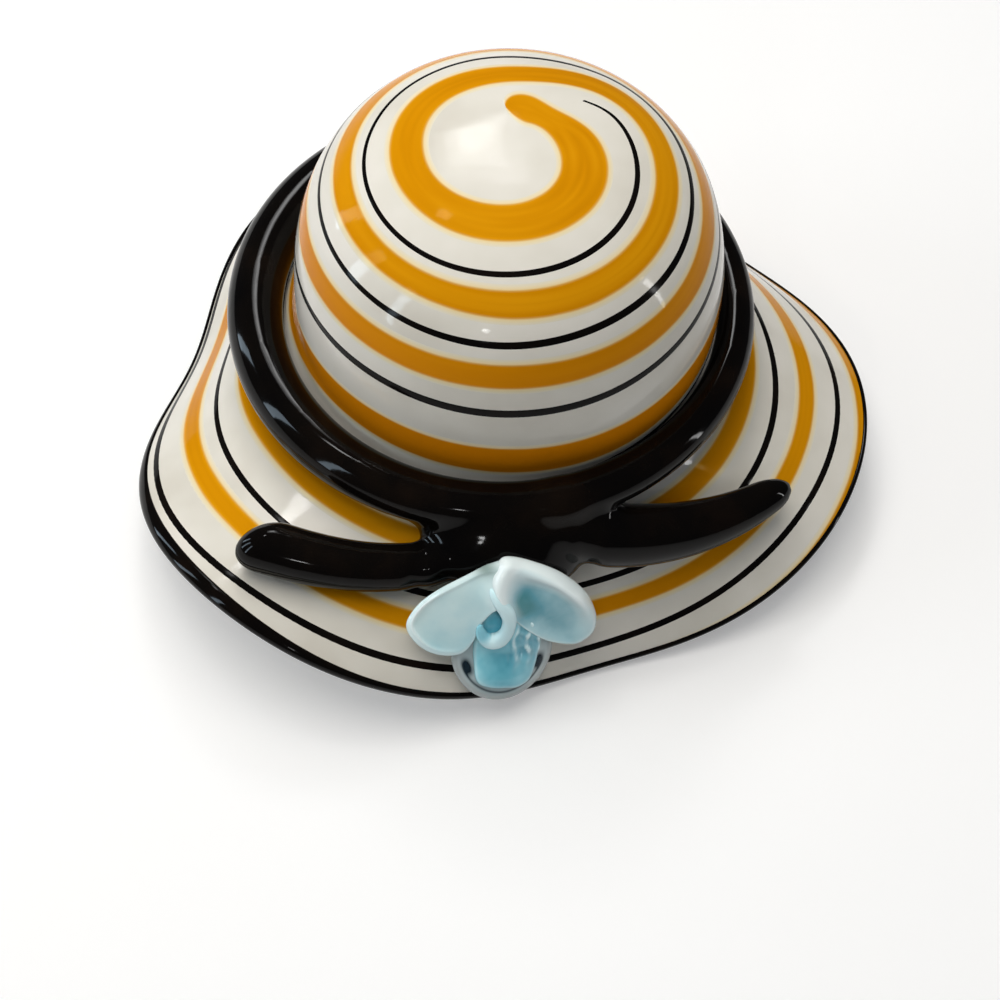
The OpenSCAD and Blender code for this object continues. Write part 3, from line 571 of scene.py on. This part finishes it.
def webRings(angle, run, turn, half, tall):  # a low lump that fills a corner
    return [bitRing(angle + turn * t, run, half * math.sqrt(1 - t * t), tall * math.sqrt(1 - t * t))
            for t in np.linspace(-bow["webLast"], bow["webLast"], bow["stations"])]


def melt(mesh):  # evens out the joins without shrinking, and lets glass run into the creases
    count = len(mesh.vertices)
    ends = np.empty(2 * len(mesh.edges), np.int32)
    mesh.edges.foreach_get("vertices", ends)
    here, there = ends[::2], ends[1::2]
    spots = np.empty(3 * count, np.float32)
    mesh.vertices.foreach_get("co", spots)
    spots = spots.reshape(-1, 3).astype(float)
    friends = (np.bincount(here, minlength=count) + np.bincount(there, minlength=count))[:, None]

    def pullOf():  # from each point to the middle of its neighbours
        mean = np.stack([np.bincount(here, spots[there, k], count) + np.bincount(there, spots[here, k], count)
                         for k in range(3)], 1) / friends
        return mean - spots

    def evenOut():
        for pull in (bow["pull"], bow["push"]) * bow["even"]:
            spots[:] += pull * pullOf()
        mesh.vertices.foreach_set("co", spots.ravel())
        mesh.update()

    evenOut()
    outward = np.empty(3 * count, np.float32)
    for number in range(bow["fill"]):
        mesh.vertices.foreach_get("normal", outward)
        normal = outward.reshape(-1, 3).astype(float)
        for again in range(bow["runs"]):
            rise = np.maximum((pullOf() * normal).sum(1), 0)
            spots += bow["runShare"] * rise[:, None] * normal
        mesh.vertices.foreach_set("co", spots.ravel())
        mesh.update()
    evenOut()


bits = [knotRings(), tailRings(1, bow["left"]), tailRings(-1, bow["right"])]
bits += [webRings(*web) for web in bow["webs"]]
parts = [bandRod] + [lay(skinRings("bowBit", rings), blackGlass) for rings in bits]
shape = bmesh.new()
for part in parts:
    shape.from_mesh(part.data)
    bpy.data.objects.remove(part)
mesh = bpy.data.meshes.new("bandAndBow")
shape.to_mesh(mesh)
shape.free()
mesh.materials.append(blackGlass)
bandAndBow = newObject("bandAndBow", mesh)
remesh = bandAndBow.modifiers.new("fuse", "REMESH")
remesh.mode = "VOXEL"
remesh.voxel_size = bow["voxel"] * mm
remesh.use_smooth_shade = True
settle(bandAndBow)
melt(bandAndBow.data)
hand(bandAndBow, "black_glass", "hat_band", "bow_knot", "bow_tail_left", "bow_tail_right")
print("band and bow done")

# Flower: drawn on the brim below the knot, in mm to the right, up the brim and over the glass

flower = {"run": 42.0, "turnRadius": 69.54, "turnRun": 15.25, "spread": 0.691,
          "hoodLow": 4.6, "hoodTop": 15.0, "hoodFrom": -20.0, "hoodTo": 8.0, "hoodHalf": 28.5,
          "crest": 2.4, "crestHalf": 2.6, "crestX": 0.4, "crestSway": 2.8, "crestLong": 20.0,
          "crestFoot": (-3.0, 8.0), "crestHead": (22.0, 5.0)}
pad = {"steps": 10, "rings": 26, "first": 0.03, "edgeFrom": 0.9, "edgeRun": 0.1}  # shares of the way to the outline


def easeAt(share):
    share = np.clip(share, 0, 1)
    return share * share * (3 - 2 * share)


def easeFrom(value, start, run):
    return easeAt((value - start) / run)


def hoodAt(x, y):  # height of the petals' underside
    share = easeFrom(y, flower["hoodFrom"], flower["hoodTo"] - flower["hoodFrom"])
    rise = (flower["hoodTop"] - flower["hoodLow"]) * share
    return flower["hoodLow"] + rise * (1 - (x / flower["hoodHalf"]) ** 2 / 2)


def ridgeAt(x, y):  # the petals rise to a soft crest where they meet
    sway = np.sin(np.clip((flower["crestLong"] - y) / flower["crestLong"], 0, 1) * math.pi)
    middle = flower["crestX"] - flower["crestSway"] * sway
    rise = flower["crest"] * np.exp(-((x - middle) / flower["crestHalf"]) ** 2)
    head, headRun = flower["crestHead"]
    return rise * easeFrom(y, *flower["crestFoot"]) * easeAt((head - y) / headRun)


def onBrim(points):  # flower drawing to degrees, place and height
    x, y, height = np.moveaxis(np.asarray(points, float), -1, 0)
    run = flower["run"] - y
    turnRadius = flower["turnRadius"] + flower["spread"] * (run - flower["turnRun"])
    return np.stack([bow["at"] - x / turnRadius / degree, wideLine + run, height], -1)


def curveThrough(points, steps, closed):  # smooth curve through the points
    points = np.asarray(points, float)
    if closed:
        before, after, last = np.roll(points, 1, 0), np.roll(points, -1, 0), np.roll(points, -2, 0)
    else:
        padded = np.vstack([2 * points[:1] - points[1:2], points, 2 * points[-1:] - points[-2:-1]])
        before, points, after, last = padded[:-3], padded[1:-2], padded[2:-1], padded[3:]
    t = np.linspace(0, 1, steps, endpoint=False)[None, :, None]
    before, points, after, last = [p[:, None] for p in (before, points, after, last)]
    curve = points + 0.5 * t * (after - before + t * (2 * before - 5 * points + 4 * after - last
                                                      + t * (3 * (points - after) + last - before)))
    curve = curve.reshape(-1, curve.shape[-1])
    return curve if closed else np.vstack([curve, after[-1]])


# A pad with a rounded edge on an outline. Its rules get x and y in mm, f, the share of the way out, and b, the bearing.
def padSkin(name, outline, centre, under, over, material, marks, rings=pad["rings"]):
    outline, centre = curveThrough(outline, pad["steps"], True), np.asarray(centre, float)
    share = np.sin(np.linspace(pad["first"], 1, rings) * math.pi / 2)
    share = np.concatenate([share, share[-2::-1]])[:, None]
    top = (np.arange(len(share)) < rings)[:, None]
    spots = centre + share[..., None] * (outline - centre)
    x, y = spots[..., 0], spots[..., 1]
    bearing = np.broadcast_to(np.arctan2(*(outline - centre).T[::-1]) / degree, x.shape)
    share = np.broadcast_to(share, x.shape)
    low, high = under(x, y, share, bearing), over(x, y, share, bearing)
    middle = (low + high) / 2
    edge = np.sqrt(np.clip(1 - np.clip((share - pad["edgeFrom"]) / pad["edgeRun"], 0, 1) ** 2, 0, 1))
    height = middle + np.where(top, high - middle, low - middle) * edge
    marks = {mark: np.clip(rule(x, y, share, bearing), 0, 1) for mark, rule in marks.items()}
    return lay(skinRings(name, onBrim(np.stack([x, y, height], -1)), marks=marks), material)


def hump(value, at, half):
    return np.exp(-((value - at) / half) ** 2)


def facing(bearing, at, half):  # 1 towards a bearing, falling to 0 at half
    return easeAt(1 - np.abs((bearing - at + 540) % 360 - 180) / half)


# In these, a pair is a place and its half width, a start and its run, or a bearing and its half turn
clearDrop = {"centre": (0.3, -14.4), "radius": 15.0, "corners": 24, "rings": 64, "under": 1.1, "thick": 3.0,
             "dome": 0.7, "line": (0.81, 0.025), "lineDark": 0.9, "lineFacing": (-90, 100), "spot": (0.74, 0.08),
             "spotDark": 1.8, "spotFacing": [(-160, 20), (-20, 20)], "rim": (0.84, 0.08)}
turn = np.arange(clearDrop["corners"]) * 2 * math.pi / clearDrop["corners"]
outline = np.stack([np.cos(turn), np.sin(turn)], 1) * clearDrop["radius"] + clearDrop["centre"]


def bentAt(x, y, f, b):  # painted dark image of the black thread, as the drop's edge bends it
    line = clearDrop["lineDark"] * hump(f, *clearDrop["line"]) * easeAt(2 * facing(b, *clearDrop["lineFacing"]))
    spots = clearDrop["spotDark"] * hump(f, *clearDrop["spot"])
    return line + spots * sum(facing(b, *side) for side in clearDrop["spotFacing"])


lipPetal = padSkin(
    "lipPetal", outline, clearDrop["centre"], lambda x, y, f, b: clearDrop["under"] + 0 * x,
    lambda x, y, f, b: clearDrop["under"] + clearDrop["thick"] + clearDrop["dome"] * (1 - f ** 2), clearGlass,
    {"bent": bentAt, "rolled": lambda x, y, f, b: easeFrom(f, *clearDrop["rim"])}, clearDrop["rings"])
hand(lipPetal, "clear_glass", "lip_petal")

leftPetal = {"outline": [(-26.3, -8.5), (-24.8, -12.2), (-21.3, -14.5), (-17.3, -15.1), (-13.3, -14.4), (-10.6, -12.8),
                         (-8.2, -8.7), (-6.6, -3.5), (-4.0, 1.0), (-0.8, 5.5), (0.4, 11.0), (0.6, 18.6), (-4.5, 16.4),
                         (-9.5, 12.0), (-17.2, 4.8), (-23.1, -2.0)],
             "centre": (-14.0, -4.0), "lower": 0.3, "thick": 2.6, "dish": 0.9, "ridge": 1.1, "ridgeLine": (0.86, 0.04),
             "ridgeFacing": (165, 150), "whiteFacing": (165, 130), "rim": (0.88, 0.06), "rimWhite": 0.4,
             "crestWhite": 0.2, "cup": 0.12, "cupMore": 0.2, "cupFacing": (-60, 120),
             "veil": 0.8, "veilAt": (-5.8, 15.2), "veilWide": 1.4, "veilHalf": 2.8}
veilX, veilY = leftPetal["veilAt"]
petalLeft = padSkin(
    "petalLeft", leftPetal["outline"], leftPetal["centre"], lambda x, y, f, b: hoodAt(x, y),
    lambda x, y, f, b: hoodAt(x, y) + ridgeAt(x, y) - leftPetal["lower"] + leftPetal["thick"]
    - leftPetal["dish"] * (1 - f ** 2)
    + leftPetal["ridge"] * hump(f, *leftPetal["ridgeLine"]) * facing(b, *leftPetal["ridgeFacing"]), iceGlass,
    # white along the ridge line: thick rolled glass with a painted highlight on it
    {"rolled": lambda x, y, f, b: hump(f, *leftPetal["ridgeLine"]) * facing(b, *leftPetal["whiteFacing"])
     + leftPetal["rimWhite"] * easeFrom(f, *leftPetal["rim"]) + leftPetal["crestWhite"] * ridgeAt(x, y),
     "cupped": lambda x, y, f, b: leftPetal["cup"] + leftPetal["cupMore"] * facing(b, *leftPetal["cupFacing"]) * f,
     "sheer": lambda x, y, f, b: leftPetal["veil"] * hump(
         np.hypot((x - veilX) / leftPetal["veilWide"], y - veilY), 0, leftPetal["veilHalf"])})
hand(petalLeft, "ice_glass", "petal_left")

rightPetal = {"outline": [(-0.8, 19.4), (5.4, 18.9), (13.4, 14.8), (21.2, 6.5), (26.3, -3.4), (27.3, -10.3),
                          (24.6, -13.3), (20.8, -13.8), (13.2, -10.5), (7.0, -5.5), (0.5, 1.5), (-1.6, 5.0),
                          (-4.0, 10.5), (-3.4, 15.0)],
              "centre": (11.5, -0.5), "lower": 0.8, "thick": 2.6, "dish": 2.6, "roll": 4.2, "rollLine": (0.8, 0.15),
              "rollFacing": (62, 140), "white": 1.1, "whiteFrom": (0.5, 0.25), "whiteFacing": (60, 130),
              "rim": (0.85, 0.1), "rimWhite": 0.4, "crestWhite": 0.4, "cup": 0.3, "cupMore": 0.4,
              "crestShade": 0.6, "crestShadeAt": (4.2, 4.5), "crestShadeWide": 0.6, "crestShadeHalf": 6.5}
crestShadeX, crestShadeY = rightPetal["crestShadeAt"]
petalRight = padSkin(
    "petalRight", rightPetal["outline"], rightPetal["centre"], lambda x, y, f, b: hoodAt(x, y) - rightPetal["lower"],
    lambda x, y, f, b: hoodAt(x, y) + ridgeAt(x, y) + rightPetal["thick"] - rightPetal["dish"] * (1 - f ** 2)
    + rightPetal["roll"] * hump(f, *rightPetal["rollLine"]) * facing(b, *rightPetal["rollFacing"]), iceGlass,
    {"rolled": lambda x, y, f, b: rightPetal["white"] * easeFrom(f, *rightPetal["whiteFrom"])
     * facing(b, *rightPetal["whiteFacing"])
     + rightPetal["rimWhite"] * easeFrom(f, *rightPetal["rim"]) + rightPetal["crestWhite"] * ridgeAt(x, y),
     # bluer towards the middle of the cup, with a painted shade by the crest
     "cupped": lambda x, y, f, b: rightPetal["cup"] + rightPetal["cupMore"] * (1 - f) + rightPetal["crestShade"] * hump(
         np.hypot((x - crestShadeX) / rightPetal["crestShadeWide"], y - crestShadeY), 0, rightPetal["crestShadeHalf"])})
hand(petalRight, "ice_glass", "petal_right")

throat = {"outline": [(-8.3, -9.0), (-8.3, -16.5), (-7.2, -22.4), (-3.5, -24.4), (0.7, -24.9), (5.1, -24.9),
                      (8.6, -22.2), (10.4, -14.7), (10.9, -9.5), (9.0, -2.5), (2.0, 3.5), (-5.0, 1.0)],
          "centre": (1.2, -13.0), "under": 4.2, "thick": 3.8, "thin": 0.4, "thinPower": 6,
          "rise": 5.0, "riseFrom": (-14.0, 14.0), "fold": 0.8, "foldRight": (0.5, 2.0), "foldUp": (-20.0, 8.0),
          "wave": (1.7, -3.6), "sway": (0.9, 0.55), "ripple": (0.45, 1.3, 0.6), "rippleRight": (2.0, 3.0),
          "foldHighlight": 0.7, "foldPower": 3, "rim": (0.95, 0.06), "rimWhite": 0.35,
          "pale": 0.15, "paleRight": (1.0, 4.0)}


def foldAt(x, y):  # a wave that sways up the brim, with a ripple across it, in radians per mm
    (rate, shift), (sway, swayRate), (ripple, upRate, rightRate) = throat["wave"], throat["sway"], throat["ripple"]
    wave = np.sin(x * rate + shift + sway * np.sin(swayRate * y))
    ruffle = wave + ripple * np.sin(upRate * y + rightRate * x) * easeFrom(x, *throat["rippleRight"])
    return ruffle * easeFrom(x, *throat["foldRight"]) * easeFrom(y, *throat["foldUp"])


flowerThroat = padSkin(
    "flowerThroat", throat["outline"], throat["centre"], lambda x, y, f, b: throat["under"] + 0 * x,
    lambda x, y, f, b: throat["under"] + throat["thick"] * (1 - throat["thin"] * f ** throat["thinPower"])
    + throat["rise"] * easeFrom(y, *throat["riseFrom"]) + throat["fold"] * foldAt(x, y), aquaGlass,
    # painted highlights along the fold crests, a white rim and a paler right side
    {"rolled": lambda x, y, f, b: throat["foldHighlight"] * np.maximum(foldAt(x, y), 0) ** throat["foldPower"]
     + throat["rimWhite"] * hump(f, *throat["rim"]) + throat["pale"] * easeFrom(x, *throat["paleRight"])})
hand(flowerThroat, "aqua_glass", "flower_throat")

# The crest runs down between the petals and curls round into the nub
crest = {"path": [(-3.9, 9.6, 18.0, 0.5), (-3.2, 7.9, 18.3, 1.3), (-1.5, 5.5, 18.0, 2.0), (0.1, 3.0, 17.2, 2.1),
                  (0.9, -0.4, 15.7, 1.9), (0.3, -4.4, 13.7, 2.0), (-1.6, -7.2, 12.2, 2.4), (-4.0, -7.8, 11.9, 2.4),
                  (-5.8, -6.5, 12.3, 1.9), (-6.5, -4.3, 13.2, 1.2), (-6.4, -2.8, 13.8, 0.5)],
         "steps": 8, "sides": 24, "white": 0.95, "dip": 0.2, "dipAt": (0.48, 0.12), "clear": 0.75,
         "clearFrom": (0.66, 0.18)}
curve = curveThrough(crest["path"], crest["steps"], False)
spine, thick = curve[:, :3], curve[:, 3]
ahead = np.gradient(spine, axis=0)
ahead /= np.linalg.norm(ahead, axis=1)[:, None]
sideways = np.cross(ahead, (0, 0, 1))
sideways /= np.linalg.norm(sideways, axis=1)[:, None]
above = np.cross(sideways, ahead)
ringTurn = (np.arange(crest["sides"]) * 2 * math.pi / crest["sides"])[None, :, None]
around = np.cos(ringTurn) * sideways[:, None] + np.sin(ringTurn) * above[:, None]
rings = spine[:, None] + thick[:, None, None] * around
down = np.linspace(0, 1, len(spine))[:, None]
rolled = crest["white"] - crest["dip"] * hump(down, *crest["dipAt"])
rolled = rolled - crest["clear"] * easeFrom(down, *crest["clearFrom"])
flowerNub = lay(skinRings("flowerNub", onBrim(rings), marks={"rolled": rolled}), aquaGlass)
hand(flowerNub, "aqua_glass", "flower_nub")
print("flower done")

bpy.data.objects.remove(glassForm)

# Floor, light and camera

paperFloor = {"half": 4.0, "under": -0.0003, "own": 0.28, "far": 0.62, "farFrom": 0.4, "farTo": 1.9}  # metres, glow
side, under = paperFloor["half"], paperFloor["under"]
floorMesh = bpy.data.meshes.new("floor")
floorMesh.from_pydata([(-side, -side, under), (side, -side, under), (side, side, under), (-side, side, under)],
                      [], [(0, 1, 2, 3)])
floor = newObject("floor", floorMesh)
floor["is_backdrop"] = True
paper = bpy.data.materials.new("whitePaper")
paper.use_nodes = True
tree = paper.node_tree
tree.nodes.clear()
rays = addNode(tree, "ShaderNodeLightPath").outputs
seen = addNode(tree, "ShaderNodeMath", [rays["Is Camera Ray"], rays["Is Glossy Ray"]], operation="MAXIMUM")
seen = addNode(tree, "ShaderNodeMath", [seen, rays["Is Transmission Ray"]], operation="MAXIMUM")
seen = addNode(tree, "ShaderNodeMath", [seen, paperFloor["own"]], operation="MULTIPLY")
where = addNode(tree, "ShaderNodeTexCoord").outputs["Object"]
where = addNode(tree, "ShaderNodeVectorMath", [where], operation="LENGTH").outputs["Value"]
far = addNode(tree, "ShaderNodeMapRange", [where, paperFloor["farFrom"], paperFloor["farTo"], 0.0, paperFloor["far"]])
far = addNode(tree, "ShaderNodeMath", [far, rays["Is Camera Ray"], seen], operation="MULTIPLY_ADD")
glow = addNode(tree, "ShaderNodeEmission", {"Strength": far})
matte = addNode(tree, "ShaderNodeBsdfDiffuse", {"Color": linear("#E8E8E8")})
both = addNode(tree, "ShaderNodeAddShader", [matte, glow])
addNode(tree, "ShaderNodeOutputMaterial", [both])
floorMesh.materials.append(paper)

world = bpy.data.worlds.new("studio")
world.use_nodes = True
tree = world.node_tree
tree.nodes.clear()
sky = addNode(tree, "ShaderNodeBackground", {"Color": linear("#D6E4F8"), "Strength": 0.08})
wall = addNode(tree, "ShaderNodeBackground", {"Color": linear("#FCFCFC"), "Strength": 1.0})  # pale behind the floor
seen = addNode(tree, "ShaderNodeLightPath").outputs["Is Camera Ray"]
addNode(tree, "ShaderNodeOutputWorld", [addNode(tree, "ShaderNodeMixShader", [seen, sky, wall])])
scene.world = world

# Name, bearing from the front and elevation in degrees, width and height in metres, watts, colour,
# whether it shows in the gloss and whether it lights the glass
lamps = [
    ("overhead", -115, 77, (1.1, 1.1), 12.4, "#FFFBF4", False, True),
    ("windowGlow", -167, 51, (0.36, 0.30), 1.2, "#FFFFFF", True, True),
    ("windowPane", -168, 50, (0.25, 0.20), 0.9, "#FFFFFF", True, True),
    ("windowCore", -170, 49, (0.14, 0.12), 0.4, "#FFFFFF", True, True),
    ("ceilingLamp", -129, 66, (0.10, 0.08), 0.55, "#FFFFFF", True, True),
    ("leftFill", -80, 26, (0.60, 0.35), 3.4, "#F2F7FC", False, True),
    ("leftPane1", -55, 19, (0.10, 0.75), 3.0, "#CFE4F4", True, False),
    ("leftPane2", -81, 18, (0.14, 0.75), 4.2, "#CFE4F4", True, False),
    ("leftPane3", -105, 16, (0.12, 0.60), 2.9, "#CFE4F4", True, False),
    ("rightFill", 82, 20, (0.40, 0.35), 1.0, "#FFFFFF", False, True),
    ("rightStrip", 82, 13, (0.05, 0.60), 1.7, "#FFFFFF", True, False),
    ("frontSpot", -9, 31, (0.08, 0.05), 0.5, "#FFFFFF", True, True),
    ("flowerLight", 12, 62, (0.30, 0.30), 3.1, "#FFFFFF", False, True),
]
lampDistance = 1.25
aim = Vector((0, 0, 0.06))
for name, bearing, elevation, size, watts, colour, inGloss, onGlass in lamps:
    flat = math.cos(elevation * degree)
    away = Vector((math.sin(bearing * degree) * flat, -math.cos(bearing * degree) * flat, math.sin(elevation * degree)))
    lamp = bpy.data.lights.new(name, "AREA")
    lamp.shape = "RECTANGLE"
    lamp.size, lamp.size_y = size
    lamp.energy = watts
    lamp.color = linear(colour)[:3]
    lampObject = newObject(name, lamp)
    lampObject.location = aim + away * lampDistance
    lampObject.rotation_euler = away.to_track_quat("Z", "Y").to_euler()
    lampObject.visible_glossy, lampObject.visible_diffuse = inGloss, onGlass
flowerOnly = bpy.data.collections.new("flowerOnly")  # milky petals glow inside, so one weak lamp is theirs alone
for piece in (lipPetal, petalLeft, petalRight, flowerThroat, flowerNub):
    flowerOnly.objects.link(piece)
bpy.data.objects["flowerLight"].light_linking.receiver_collection = flowerOnly

photo = {"lens": 72.0, "place": (-1.33, -355.91, 553.64), "pitch": 59.54, "roll": 5.30, "sensor": 36.0, "near": 0.01}
camera = bpy.data.cameras.new("photoCamera")
camera.lens = photo["lens"]
camera.sensor_width = photo["sensor"]
camera.clip_start = photo["near"]
cameraObject = newObject("photoCamera", camera)
cameraObject.matrix_world = (Matrix.Translation([c * mm for c in photo["place"]])
                             @ Matrix.Rotation((90 - photo["pitch"]) * degree, 4, "X")
                             @ Matrix.Rotation(photo["roll"] * degree, 4, "Z"))
scene.camera = cameraObject
scene.view_settings.view_transform = "Standard"
print("stage done")

low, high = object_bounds()
